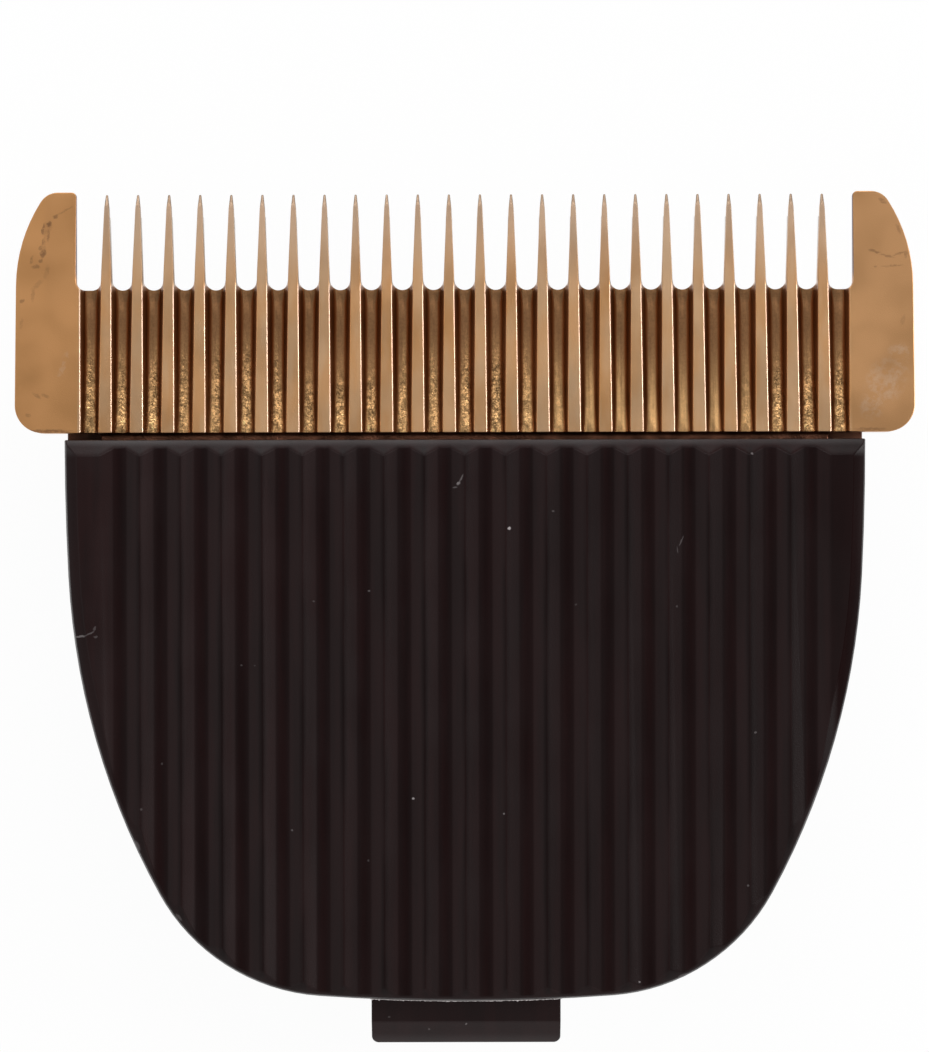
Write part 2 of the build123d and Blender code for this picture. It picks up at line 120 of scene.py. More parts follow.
# Marks on the comb: x, y from its rear edge, half length and half width in millimetres,
# turn in degrees and strength
EAR_STAINS = (
    (-20.05, 11.2, 0.5, 0.06, 30, 0.3),
    (-20.53, 10.9, 0.15, 0.1, 20, 0.65),
    (-20.85, 10.5, 0.19, 0.13, 60, 0.8),
    (-21.15, 10.25, 0.3, 0.08, 80, 0.7),
    (-20.88, 10.0, 0.4, 0.1, 85, 0.5),
    (-20.97, 10.25, 0.42, 0.24, 70, 0.3),
    (-21.12, 9.65, 0.28, 0.1, 75, 0.5),
    (-21.27, 9.33, 0.15, 0.1, 60, 0.5),
    (-21.15, 9.3, 0.6, 0.16, 82, 0.25),
    (-21.15, 9.04, 0.26, 0.16, 82, 0.75),
    (-21.25, 8.65, 0.17, 0.1, 60, 0.55),
    (-21.72, 8.72, 0.24, 0.09, 75, 0.4),
    (-21.5, 8.35, 0.24, 0.11, 5, 0.45),
    (-20.95, 8.1, 0.38, 0.13, 75, 0.22),
    (-21.4, 7.45, 0.42, 0.13, 40, 0.2),
    (-21.63, 6.95, 0.36, 0.1, 85, 0.25),
    (-22.18, 6.63, 0.14, 0.1, 60, 0.5),
    (-22.2, 5.5, 0.3, 0.09, 80, 0.25),
    (-21.4, 1.87, 0.26, 0.1, -35, 0.35),
    (-20.98, 1.87, 0.24, 0.09, -20, 0.3),
    (-21.8, 0.9, 0.14, 0.1, 0, 0.4),
    (-20.9, 0.08, 1.4, 0.11, 0, 0.65),
    (20.6, 9.06, 0.36, 0.08, -14, 0.55),
    (21.2, 8.83, 0.38, 0.07, -10, 0.45),
    (21.85, 8.95, 0.4, 0.07, 14, 0.45),
    (22.15, 8.9, 0.2, 0.09, 80, 0.4),
    (21.45, 8.33, 0.6, 0.06, 4, 0.45),
    (20.6, 8.3, 0.1, 0.08, 0, 0.4),
    (21.0, 11.62, 0.26, 0.13, -35, 0.45),
    (21.8, 10.2, 0.3, 0.1, -65, 0.35),
    (21.95, 5.6, 0.3, 0.12, 70, 0.2),
    (20.2, 0.12, 0.9, 0.1, 0, 0.4),
)
EAR_RUBS = (
    (-20.1, 3.4, 0.75, 0.2, 72, 0.7),
    (21.75, 4.0, 0.6, 0.5, 0, 0.9),
    (21.1, 2.6, 1.4, 1.0, 55, 0.9),
    (20.4, 1.4, 0.9, 0.7, 60, 0.9),
)
# Marks on the holder, laid out in the same way
HOLDER_SCRATCHES = (
    (-0.2, -2.33, 0.28, 0.04, 66, 0.3),
    (-0.32, -2.55, 0.12, 0.08, 40, 0.55),
    (-0.5, -2.75, 0.14, 0.04, 10, 0.25),
    (2.2, -4.8, 0.085, 0.085, 0, 1.0),
    (10.76, -5.45, 0.3, 0.035, 68, 0.16),
    (10.58, -5.9, 0.2, 0.04, 100, 0.12),
    (-19.2, -10.15, 0.34, 0.06, 8, 0.45),
    (-18.7, -10.0, 0.3, 0.05, 28, 0.2),
    (-18.45, -9.75, 0.14, 0.07, 70, 0.14),
    (-18.4, -10.15, 0.12, 0.05, 0, 0.14),
    (-2.6, -18.25, 0.08, 0.08, 0, 1.0),
    (1.9, -19.0, 0.07, 0.06, 0, 0.5),
    (-4.8, -7.9, 0.07, 0.06, 0, 0.26),
    (-7.55, -8.4, 0.07, 0.05, 0, 0.13),
    (-11.15, -11.6, 0.07, 0.06, 0, 0.12),
    (-10.5, -11.6, 0.06, 0.05, 0, 0.1),
    (-15.15, -16.5, 0.06, 0.06, 0, 0.12),
    (-16.15, -18.75, 0.07, 0.06, 0, 0.13),
    (-8.65, -19.8, 0.07, 0.06, 0, 0.28),
    (-4.85, -21.35, 0.06, 0.06, 0, 0.12),
    (4.38, -3.95, 0.07, 0.06, 30, 0.16),
    (5.5, -8.6, 0.06, 0.05, 0, 0.12),
    (10.55, -8.7, 0.06, 0.08, 0, 0.12),
    (14.45, -15.0, 0.07, 0.06, 0, 0.2),
    (14.05, -22.6, 0.07, 0.06, 0, 0.25),
    (8.65, -27.4, 0.07, 0.06, 0, 0.5),
    (14.3, -1.1, 0.07, 0.06, 0, 0.3),
    (0.0, -29.95, 0.08, 0.06, 30, 0.5),
    (-3.9, -29.6, 0.07, 0.06, 0, 0.22),
    (-1.9, -30.25, 0.06, 0.06, 0, 0.22),
    (-16.4, -20.55, 0.35, 0.12, -60, 0.25),
    (-14.3, -24.15, 0.25, 0.08, -48, 0.2),
    (14.6, -24.15, 0.25, 0.08, 48, 0.2),
    (10.8, -27.1, 0.25, 0.08, 25, 0.2),
)


def colour(name, description, value):
    """A colour that a user may change."""
    return FloatVectorProperty(name=name, description=description, subtype="COLOR", default=value)


def length(name, description, millimetres):
    """A length that a user may change."""
    return FloatProperty(
        name=name,
        description=description,
        default=millimetres * MM,
        unit="LENGTH",
        precision=6,
    )


class ClipperBladeColours(PropertyGroup):
    """Colours of the finishes, as linear values"""

    gold: colour("Gold coat", "Coating of the comb where it is whole", (0.62, 0.305, 0.116))
    worn_gold: colour("Worn coat", "Coating that is rubbed pale", (0.66, 0.42, 0.24))
    tip_steel: colour("Tooth tips", "Steel that shows through at the tooth tips", (0.65, 0.475, 0.35))
    # Painted highlight and painted reflection on the tooth roots and the right edges of the ridges
    painted_glint: colour("Painted glint", "Flanks at the roots of the teeth", (0.9, 0.78, 0.7))
    # Painted shade and painted light on the groove floors: dark at the front, bright at the rear
    shaded_groove_floor: colour("Groove ends", "Painted shade where the grooves run out", (0.285, 0.145, 0.066))
    lit_groove_floor: colour("Groove floors", "Rough floors of the grooves, with painted light", (0.57, 0.335, 0.148))
    # Painted shade on the groove walls
    groove_wall_shade: colour("Groove walls", "Dark film on the walls of the grooves", (0.3, 0.13, 0.05))
    # Painted shade on the inner walls of the ears
    ear_wall_shade: colour("Ear walls", "Painted shade on the inner walls of the ears", (0.17, 0.12, 0.125))
    stain: colour("Stains", "Dried stains on the ears of the comb", (0.21, 0.105, 0.055))
    # Painted shade in the seam
    seam_shade: colour("Seam shade", "Painted shade in the seam behind the comb", (0.24, 0.105, 0.064))
    black_plastic: colour("Black plastic", "Moulding of the holder", (0.0105, 0.0028, 0.0028))
    dim_plastic: colour("Dim plastic", "Moulding turned away from the light", (0.0055, 0.0036, 0.0036))
    dust: colour("Dust and scratches", "Pale specks and scratches on the holder", (0.3, 0.27, 0.27))
    # Torn pale edge, also a painted highlight on the rim's lower edge
    flash: colour("Flash", "Thin torn edge of the moulding, pale also as a painted highlight", (0.78, 0.72, 0.71))
    ceramic: colour("Ceramic", "Sliding cutter", (0.8, 0.79, 0.76))
    grey_plastic: colour("Grey plastic", "Carriage of the cutter", (0.17, 0.175, 0.18))
    steel: colour("Steel", "Guide plate, spring and screws", (0.6, 0.59, 0.57))


class ClipperBladeSizes(PropertyGroup):
    """Edge radii and small forms that the solids leave out"""

    comb_edge: length("Comb edges", "Width of the rounded edges of the comb", 0.04)
    groove_hollow: length("Groove hollows", "Width of the rounded corners of the grooves", 0.2)
    holder_edge: length("Holder edges", "Width of the rounded edges of the holder", 0.06)
    works_edge: length("Edges of the works", "Width of the rounded edges behind the comb", 0.05)
    flash_reach: length("Flash", "How far the mould flash stands out over the tongue", 0.1)
    wire_segments: IntProperty(name="Wire sides", description="Sides of the round wire", default=14)
    coil_steps: IntProperty(name="Coil steps", description="Steps along one coil", default=52)


class ClipperBladeStudio(PropertyGroup):
    """Camera, floor and light"""

    camera_distance: length("Camera distance", "From the camera down to the view level", 210.0)
    view_height: length("View height", "Height of the picture at the view level", 52.6)
    view_middle: length("View middle", "Y of the middle of the picture", 4.76)
    view_side: length("View side", "X of the middle of the picture", -0.03)
    view_level: length("View level", "Height at which the picture is measured", 8.0)
    view_roll: FloatProperty(
        name="View roll",
        description="Turn of the camera about its view",
        default=radians(-0.12),
        subtype="ANGLE",
        precision=4,
    )
    floor_size: length("Floor size", "Side of the square floor", 900.0)


class FinishTree:
    """Short ways to add linked nodes to a material or world."""

    # Places of the Mix node's sockets: the factor and two values, and the mixed colour
    number_inputs = (0, 2, 3)
    colour_inputs = (0, 6, 7)
    colour_output = 2

    def __init__(self, tree):
        self.tree = tree
        tree.nodes.clear()

    def node(self, kind, settings=None, **sockets):
        made = self.tree.nodes.new(kind)
        for name, value in (settings or {}).items():
            setattr(made, name, value)
        for name, value in sockets.items():
            self.feed(made.inputs[name.replace("_", " ")], value)
        return made

    def feed(self, socket, value):
        if isinstance(value, bpy.types.NodeSocket):
            self.tree.links.new(value, socket)
        elif socket.type == "RGBA" and len(value) == 3:
            socket.default_value = (*value, 1.0)
        else:
            socket.default_value = value

    def math(self, operation, *values, clamp=False):
        made = self.node("ShaderNodeMath", {"operation": operation, "use_clamp": clamp})
        for socket, value in zip(made.inputs, values):
            self.feed(socket, value)
        return made.outputs[0]

    def product(self, first, *others):
        """Several values multiplied."""
        for other in others:
            first = self.math("MULTIPLY", first, other)
        return first

    def ramp(self, value, low, high, start=0.0, end=1.0):
        """Smooth step from start to end, while a value goes from low to high."""
        made = self.node(
            "ShaderNodeMapRange",
            {"interpolation_type": "SMOOTHSTEP"},
            Value=value,
            From_Min=low,
            From_Max=high,
            To_Min=start,
            To_Max=end,
        )
        return made.outputs[0]

    def spread(self, noise, start, end):
        """A noise spread over a range, with its rare extremes cut off."""
        return self.ramp(noise, 0.3, 0.7, start, end)

    def mix(self, factor, first, second, blend="MIX"):
        """A mix of two colours."""
        made = self.node("ShaderNodeMix", {"data_type": "RGBA", "blend_type": blend})
        for place, value in zip(self.colour_inputs, (factor, first, second)):
            self.feed(made.inputs[place], value)
        return made.outputs[self.colour_output]

    def blend(self, factor, first, second):
        """A mix of two numbers."""
        made = self.node("ShaderNodeMix")
        for place, value in zip(self.number_inputs, (factor, first, second)):
            self.feed(made.inputs[place], value)
        return made.outputs[0]

    def shade(self, tint, level):
        """A colour made lighter or darker by a level."""
        grey = self.node("ShaderNodeCombineColor", Red=level, Green=level, Blue=level).outputs[0]
        return self.mix(1.0, tint, grey, "MULTIPLY")

    def vector(self, operation, *values):
        made = self.node("ShaderNodeVectorMath", {"operation": operation})
        for socket, value in zip(made.inputs, values):
            self.feed(socket, value)
        return made.outputs["Value" if operation == "DOT_PRODUCT" else "Vector"]

    def place(self, stretch=(1, 1, 1)):
        """Place on the object in millimetres, stretched."""
        where = self.node("ShaderNodeTexCoord").outputs["Object"]
        return self.vector("MULTIPLY", where, Vector(stretch) / MM)

    def noise(self, place, scale, detail=2.0, roughness=0.5):
        sockets = {"Vector": place, "Scale": scale, "Detail": detail, "Roughness": roughness}
        return self.node("ShaderNodeTexNoise", **sockets).outputs[0]

    def cell_borders(self, place, scale):
        """Distance to the nearest border between the cells of a cracked pattern."""
        made = self.node("ShaderNodeTexVoronoi", {"feature": "DISTANCE_TO_EDGE"}, Vector=place, Scale=scale)
        return made.outputs["Distance"]

    def ragged(self, place, scale, reach):
        """The place, moved about by a noise so that marks get ragged outlines."""
        stir = self.node("ShaderNodeTexNoise", Vector=place, Scale=scale, Detail=2.0).outputs["Color"]
        centred = self.vector("SUBTRACT", stir, (0.5, 0.5, 0.5))
        return self.vector("MULTIPLY_ADD", centred, (reach, reach, reach), place)

    def parts(self, vector):
        return self.node("ShaderNodeSeparateXYZ", Vector=vector).outputs

    def normal(self):
        return self.parts(self.node("ShaderNodeNewGeometry").outputs["Normal"])

    def chance(self, value, seed=0.0):
        """A steady random number for each whole value."""
        shifted = self.math("ADD", value, seed)
        return self.node("ShaderNodeTexWhiteNoise", {"noise_dimensions": "1D"}, W=shifted).outputs[0]

    def mark(self, place, spot):
        """Soft mask of one mark."""
        x, y, half_length, half_width, turn, strength = spot
        centred = self.vector("SUBTRACT", place, (x, SEAM_Y + y, 0))
        way = Vector((cos(radians(turn)), sin(radians(turn)), 0))
        along = self.vector("DOT_PRODUCT", centred, way / half_length)
        aside = self.vector("DOT_PRODUCT", centred, way.cross((0, 0, 1)) / half_width)
        squared = self.math("MULTIPLY", aside, aside)
        distance = self.math("MULTIPLY_ADD", along, along, squared)
        return self.ramp(distance, 1.3, 0.15, 0.0, strength)

    def marks(self, place, spots):
        """The strongest of several marks."""
        strongest = self.mark(place, spots[0])
        for spot in spots[1:]:
            strongest = self.math("MAXIMUM", strongest, self.mark(place, spot))
        return strongest

    def bump(self, height, distance, strength=1.0):
        made = self.node("ShaderNodeBump", Height=height, Distance=distance, Strength=strength)
        return made.outputs[0]

    def principled(self, **sockets):
        return self.node("ShaderNodeBsdfPrincipled", **sockets).outputs[0]

    def switch(self, factor, first, second):
        """One of two surfaces, or a mix of both."""
        made = self.node("ShaderNodeMixShader")
        for socket, value in zip(made.inputs, (factor, first, second)):
            self.feed(socket, value)
        return made.outputs[0]

    def output(self, surface, kind="ShaderNodeOutputMaterial"):
        self.feed(self.node(kind).inputs["Surface"], surface)


def finish(name):
    """A new material and the tree to build it in."""
    material = bpy.data.materials.new(name)
    material.use_nodes = True
    return material, FinishTree(material.node_tree)


def add_piece(name, shape, material, body):
    """Make an object of a finished bmesh, with even normals, and let it ride on a body."""
    for face in shape.faces:
        face.smooth = True
    mesh = bpy.data.meshes.new(name)
    shape.to_mesh(mesh)
    shape.free()
    mesh.materials.append(material)
    piece = bpy.data.objects.new(name, mesh)
    bpy.context.scene.collection.objects.link(piece)
    even = piece.modifiers.new("even_normals", "WEIGHTED_NORMAL")
    even.keep_sharp = True
    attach(piece, body)
    return piece


def round_edges(shape, width, segments, chosen):
    """Bevel the edges whose signed angle passes a test."""
    edges = [edge for edge in shape.edges if chosen(edge.calc_face_angle_signed(0))]
    bmesh.ops.bevel(
        shape,
        geom=edges,
        offset=width,
        offset_type="OFFSET",
        affect="EDGES",
        segments=segments,
        profile=0.5,
        material=-1,
        clamp_overlap=False,
    )


def soften(node_name, material, edge, hollow=0):
    """A copy of a solid with rounded corners and edges, which stands for it."""
    solid = frame["nodes"][node_name]
    shape = bmesh.new()
    shape.from_mesh(solid.data)
    bmesh.ops.remove_doubles(shape, verts=shape.verts, dist=MERGE_GAP)
    bmesh.ops.dissolve_limit(shape, angle_limit=FLAT_ANGLE, verts=shape.verts, edges=shape.edges)
    if hollow:
        round_edges(shape, hollow, HOLLOW_SEGMENTS, lambda angle: angle < HOLLOW_ANGLE)
    round_edges(shape, edge, EDGE_SEGMENTS, lambda angle: angle > EDGE_ANGLE)

    # Rounding keeps within the box of the solid
    low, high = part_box(node_name)
    for vertex in shape.verts:
        vertex.co = [min(max(part, least), most) for part, least, most in zip(vertex.co, low, high)]
    piece = add_piece(node_name + "_soft", shape, material, solid["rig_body"])
    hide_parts(node_name)
    return piece


class CombPlace:
    """Where a point lies on the comb between its ears, and which way it faces."""

    def __init__(self, tree):
        self.whole = tree.place()
        self.x, self.y, z = tree.parts(self.whole)[:3]
        self.lean, self.ahead, self.up = tree.normal()[:3]
        top = tree.math("MULTIPLY_ADD", self.y, -COMB_FALL, COMB_TOP_Z + COMB_FALL * SEAM_Y)
        self.depth = tree.math("SUBTRACT", top, z)
        self.count = tree.math("MULTIPLY", self.x, 1 / TOOTH_PITCH)
        self.tooth = tree.math("FLOOR", self.count)
        self.behind_gaps = tree.ramp(self.y, ROOT_Y + 0.28, ROOT_Y + 0.12)


def ridge_coat(tree, colours, spot):
    """Colour of the ridges and teeth, each with its own tone, long patches and a pale tip, with painted
    highlights and painted shade on their edges.
    """
    patches = tree.spread(tree.noise(tree.place((1.3, 0.3, 1)), 1.0), 0.12, 0.68)
    paleness = tree.math("MULTIPLY_ADD", tree.chance(spot.tooth), 0.4, patches)
    coat = tree.mix(paleness, colours.gold, colours.worn_gold)
    coat = tree.mix(tree.ramp(spot.y, ROOT_Y - 1.0, TIP_Y + 1.7), coat, colours.tip_steel)

    # Painted reflection on the flanks of the tooth roots and painted highlight along the right edges of the
    # ridges
    across = tree.math("MULTIPLY", tree.math("FRACT", spot.count), TOOTH_PITCH)
    beside = tree.math("ABSOLUTE", tree.math("SUBTRACT", across, TOOTH_PITCH / 2))
    root_glint = tree.product(tree.ramp(beside, 0.25, 0.29), tree.ramp(spot.y, ROOT_Y - 0.12, ROOT_Y + 0.05))
    leaning_right = tree.ramp(spot.lean, 0.2, 0.4, 0.0, 0.4)
    edge = tree.product(leaning_right, tree.ramp(spot.depth, 0.09, 0.05), spot.behind_gaps)
    coat = tree.mix(tree.math("MAXIMUM", root_glint, edge), coat, colours.painted_glint)

    # Painted shade on the forward-facing ends and the right edges of the teeth
    tip_shade = tree.product(tree.ramp(spot.ahead, 0.1, 0.35), tree.ramp(spot.y, TIP_Y - 1.2, TIP_Y - 0.6))
    past_roots = tree.ramp(spot.y, ROOT_Y + 0.1, ROOT_Y + 0.5)
    tooth_edge_shade = tree.product(tree.ramp(spot.lean, 0.15, 0.4), past_roots)
    painted_shade = tree.math("MAXIMUM", tip_shade, tooth_edge_shade)
    return tree.shade(coat, tree.ramp(painted_shade, 0.0, 1.0, 1.0, 0.45))


def groove_coat(tree, colours, spot):
    """Colour of the grooves, with painted shade in front and painted light behind over a rough floor, and
    the height of their bumps.
    """
    # Rear floors are crumpled on the left and at the right end, and streaked between
    dent_place = tree.place((1, 0.6, 1))
    dents = tree.ramp(tree.noise(dent_place, 3.6, detail=3.0, roughness=0.6), 0.36, 0.64, 0.55, 1.55)
    borders = tree.cell_borders(tree.ragged(dent_place, 6.0, reach=0.4), 4.0)
    cracks = tree.ramp(borders, 0.0, 0.08, 0.4, 1.0)
    flecks = tree.spread(tree.noise(spot.whole, 8.0), 0.75, 1.3)
    crumpled = tree.product(dents, cracks, flecks)
    streaks = tree.spread(tree.noise(tree.place((7, 0.35, 1)), 1.0, detail=3.0), 0.75, 1.3)
    on_left = tree.ramp(spot.x, 7.0, 1.0)
    at_right_end = tree.ramp(spot.x, 13.0, 16.0)
    share = tree.math("MULTIPLY_ADD", tree.chance(spot.tooth, seed=80.5), 0.45, 0.55)
    crumpling = tree.math("MAXIMUM", on_left, at_right_end)
    crumpling = tree.math("MULTIPLY_ADD", crumpling, share, 0.15, clamp=True)
    speckle = tree.blend(crumpling, streaks, crumpled)

    # Painted light: floors turn bright towards the seam, each from a place of its own, and painted shade
    # darkens them near the gaps
    start = tree.math("MULTIPLY_ADD", tree.chance(spot.tooth, seed=40.5), 1.6, ROOT_Y - 2.8)
    rearward = tree.ramp(tree.math("SUBTRACT", start, spot.y), 0.0, 4.4)
    shade_near_gaps = tree.ramp(spot.y, ROOT_Y - 0.9, ROOT_Y - 0.2, 1.0, 0.47)
    painted_shade = tree.product(shade_near_gaps, tree.ramp(flecks, 0.75, 1.3, 0.9, 1.1))
    floor = tree.mix(rearward, tree.shade(colours.shaded_groove_floor, painted_shade), colours.lit_groove_floor)
    floor = tree.mix(tree.ramp(rearward, 0.0, 0.8), floor, tree.shade(floor, speckle))
    floor = tree.shade(floor, tree.ramp(spot.y, SEAM_Y + 1.6, SEAM_Y, 1.0, 1.25))

    # Painted shade darkens the walls, most at the rear
    shadow = tree.shade(colours.groove_wall_shade, tree.ramp(spot.y, SEAM_Y + 4.0, SEAM_Y + 1.0, 1.0, 0.72))
    wall = tree.ramp(tree.math("ABSOLUTE", spot.lean), 0.18, 0.7)
    coarse = tree.product(rearward, crumpling, tree.ramp(spot.depth, 0.2, 0.35))
    return tree.mix(wall, floor, shadow), tree.product(flecks, coarse)


def toothed_coat(tree, colours):
    """Coated steel between the ears, with painted shade where it meets the seam."""
    spot = CombPlace(tree)
    not_below = tree.ramp(spot.up, -0.3, -0.1)
    in_groove = tree.product(tree.ramp(spot.depth, 0.05, 0.2), spot.behind_gaps, not_below)
    in_seam = tree.product(tree.ramp(spot.y, SEAM_Y + 0.06, SEAM_Y - 0.02), not_below)
    groove, bumps = groove_coat(tree, colours, spot)
    surface = tree.mix(in_groove, ridge_coat(tree, colours, spot), groove)
    lumps = tree.ramp(tree.noise(spot.whole, 1.1, detail=3.0), 0.35, 0.65, 0.6, 1.3)
    # Painted shade in the seam
    surface = tree.mix(in_seam, surface, tree.shade(colours.seam_shade, lumps))
    grain = tree.noise(spot.whole, GRAIN_SCALE, detail=1.0)
    height = tree.math("MULTIPLY_ADD", grain, 0.2, bumps)
    return tree.principled(
        Base_Color=surface,
        Metallic=1.0,
        Roughness=tree.spread(tree.noise(spot.whole, CLOUD_SCALE), *SATIN),
        Normal=tree.bump(height, 0.04 * MM, strength=0.6),
    )


def ear_coat(tree, colours):
    """Coated steel of the two ears: satin gold with dried stains, rubbed patches and painted shade on the
    inner walls.
    """
    place = tree.place()
    x, y, _ = tree.parts(place)[:3]
    lean, _, up = tree.normal()[:3]
    cloud = tree.noise(place, CLOUD_SCALE)

    # More wear on the right ear, and a darker front on it and on the inner side of the left ear
    right_wear = tree.ramp(x, -1.0, 1.0, 0.0, 0.2)
    worn = tree.math("ADD", tree.ramp(cloud, 0.35, 0.65, 0.06, 0.13), right_wear)
    surface = tree.mix(worn, colours.gold, colours.worn_gold)
    surface = tree.shade(surface, tree.ramp(x, -1.0, 1.0, 1.0, 0.94))
    dark_side = tree.ramp(x, -21.4, -20.7)
    dark_front = tree.product(dark_side, tree.ramp(y, ROOT_Y - 2.0, ROOT_Y + 1.0))
    surface = tree.shade(surface, tree.ramp(dark_front, 0.0, 1.0, 1.0, 0.93))

    # Rubbed patches and stains on what faces up
    upward = tree.ramp(up, 0.3, 0.7)
    rough_place = tree.ragged(place, 4.5, reach=0.2)
    flakes = tree.ramp(tree.noise(place, 2.4, detail=4.0, roughness=0.65), 0.4, 0.66, 0.0, 0.45)
    rubs = tree.product(tree.marks(rough_place, EAR_RUBS), flakes, upward)
    surface = tree.mix(rubs, surface, colours.tip_steel)
    pits = tree.ramp(tree.noise(place, 6.0, detail=3.0, roughness=0.7), 0.36, 0.56, 0.4, 1.0)
    stains = tree.product(tree.marks(rough_place, EAR_STAINS), pits, upward)
    surface = tree.mix(stains, surface, colours.stain)

    # Painted shade on the inner walls beside the teeth
    inward = tree.math("MULTIPLY", lean, tree.math("SIGN", x))
    inner = tree.product(tree.ramp(inward, -0.4, -0.8), tree.ramp(y, ROOT_Y + 0.4, ROOT_Y + 1.0))
    surface = tree.mix(inner, surface, colours.ear_wall_shade)
    grain = tree.noise(place, GRAIN_SCALE, detail=1.0)
    return tree.principled(
        Base_Color=surface,
        Metallic=1.0,
        Roughness=tree.spread(cloud, *SATIN),
        Normal=tree.bump(grain, 0.008 * MM, strength=0.6),
    )


def gold_coat(colours):
    """The coated steel of the comb."""
    material, tree = finish("gold_coat")
    from_middle = tree.math("ABSOLUTE", tree.parts(tree.place())[0])
    on_ears = tree.math("GREATER_THAN", from_middle, EAR_START_X)
    tree.output(tree.switch(on_ears, toothed_coat(tree, colours), ear_coat(tree, colours)))
    return material


class HolderPlace:
    """Where a point lies on the holder, and which way it faces."""

    def __init__(self, tree):
        self.whole = tree.place()
        self.x, self.y, z = tree.parts(self.whole)[:3]
        self.side, self.front, self.up = tree.normal()[:3]
        self.depth = tree.math("SUBTRACT", HOLDER_HIGH.z, z)
        self.from_middle = tree.math("ABSOLUTE", self.x)
        self.from_crest = tree.math("PINGPONG", tree.math("ADD", self.x, FLUTED_X), FLUTE_PITCH / 2)
        self.on_tongue = tree.ramp(self.y, REAR_Y - 0.05, REAR_Y - 0.15)
        self.streak = tree.noise(tree.place((1.6, 0.12, 1)), 1.0)


def fluted_face(tree, colours, spot):
    """Colour and gloss of the streaky black plastic on the fluted face, with painted shade and painted
    light on parts of it.
    """
    # Painted shade darkens the flute floors and lowers their shine
    flute_floor = tree.product(tree.ramp(spot.depth, 0.19, 0.27), tree.ramp(spot.depth, 0.4, 0.3))
    flute_floor = tree.product(flute_floor, tree.ramp(spot.up, 0.84, 0.93))

    # A dull line follows each crest between the flutes
    between_flutes = tree.math("LESS_THAN", spot.from_middle, FLUTED_X - FLUTE_PITCH / 4)
    crest = tree.product(tree.ramp(spot.from_crest, 0.24, 0.06), tree.ramp(spot.depth, 0.3, 0.2))
    crest = tree.product(crest, between_flutes)
    polish = tree.math("MULTIPLY_ADD", crest, tree.spread(spot.streak, -0.36, -0.1), 1.0)
    level = tree.product(tree.spread(spot.streak, 0.8, 1.2), tree.ramp(flute_floor, 0.0, 1.0, 1.0, 0.75))
    # Painted light makes the tongue lighter
    level = tree.math("MULTIPLY_ADD", spot.on_tongue, 0.3, tree.product(level, polish))
    base = tree.shade(colours.black_plastic, level)
    gloss = tree.product(tree.ramp(flute_floor, 0.0, 1.0, 0.22, 0.12), polish)

    # Walls of the flutes that lean right shine less and get painted shade, the more so towards the right
    # margin
    leaning_right = tree.ramp(spot.side, 0.1, 0.3)
    rightward = tree.product(leaning_right, tree.ramp(spot.x, -SHINE_REACH, SHINE_REACH, 0.08, 0.57))
    margin = tree.ramp(spot.x, FLUTED_X - 0.2, FLUTED_X + 0.1, 0.0, 0.45)
    dimmed = tree.math("MAXIMUM", rightward, margin)
    base = tree.mix(dimmed, base, colours.dim_plastic)
    return base, tree.product(gloss, tree.math("SUBTRACT", 1.0, dimmed))


def dust_and_seam_shade(tree, colours, spot, base):
    """A colour with dust and scratches over it, and with painted shade on the lip in the seam."""
    scratches = tree.marks(tree.ragged(spot.whole, 4.0, reach=0.14), HOLDER_SCRATCHES)
    dust = tree.product(scratches, tree.ramp(spot.up, 0.3, 0.7))
    base = tree.mix(dust, base, colours.dust)
    # Painted shade on the lip in the seam
    on_lip = tree.product(tree.ramp(spot.y, SEAM_Y - 0.34, SEAM_Y - 0.32), tree.ramp(spot.up, 0.4, 0.6))
    return tree.mix(on_lip, base, tree.shade(colours.seam_shade, tree.spread(spot.streak, 0.35, 0.65)))


def rim_gloss(tree, spot, gloss):
    """Gloss of the rims and the tongue, laid over that of the face."""
    # The front rim fades into the flutes and shines most on the left
    flute_cut = tree.math("MINIMUM", tree.math("MULTIPLY", spot.from_crest, FLUTE_SLOPE), FLUTE_DEPTH)
    flute_cut = tree.product(flute_cut, tree.math("LESS_THAN", spot.from_middle, FLUTED_X))
    rim_depth = tree.math("SUBTRACT", spot.depth, flute_cut)
    front_gloss = tree.product(
        tree.ramp(spot.depth, 0.28, 0.56, 0.11, 0.28),
        tree.ramp(rim_depth, -0.02, 0.14, 0.45, 1.0),
        tree.ramp(spot.x, -SHINE_REACH, SHINE_REACH, 1.2, 0.8),
    )
    on_front = tree.ramp(spot.front, 0.25, 0.45)
    gloss = tree.blend(on_front, gloss, front_gloss)

    # The side rims shine most at their outer edge and at the front
    over = tree.ramp(spot.up, 0.1, 0.3)
    beside_front = tree.math("SUBTRACT", 1.0, on_front)
    near_front = tree.ramp(spot.y, SEAM_Y - 1.3, SEAM_Y - 0.8, 0.0, 0.09)
    on_left = tree.product(tree.ramp(spot.side, -0.25, -0.6), over, beside_front)
    left_gloss = tree.math("MULTIPLY_ADD", near_front, 2.5, tree.ramp(spot.depth, 0.1, 0.8, 0.1, 0.22))
    gloss = tree.blend(on_left, gloss, left_gloss)
    past_flutes = tree.ramp(spot.x, FLUTED_X, FLUTED_X + 0.4)
    on_right = tree.product(tree.ramp(spot.side, 0.06, 0.3), over, beside_front, past_flutes)
    right_gloss = tree.math("ADD", tree.ramp(spot.depth, 0.1, 0.9, 0.005, 0.05), near_front)
    gloss = tree.blend(on_right, gloss, right_gloss)

    # The rear rim has an even shine, and the tongue shines most at its end
    on_rear = tree.product(tree.ramp(spot.front, -0.25, -0.6), over)
    gloss = tree.blend(on_rear, gloss, 0.14)
    tongue_end = tree.ramp(spot.y, HOLDER_LOW.y + 0.6, HOLDER_LOW.y, 0.0, 0.2)
    return tree.math("MULTIPLY_ADD", spot.on_tongue, 0.08, tree.math("ADD", gloss, tongue_end))


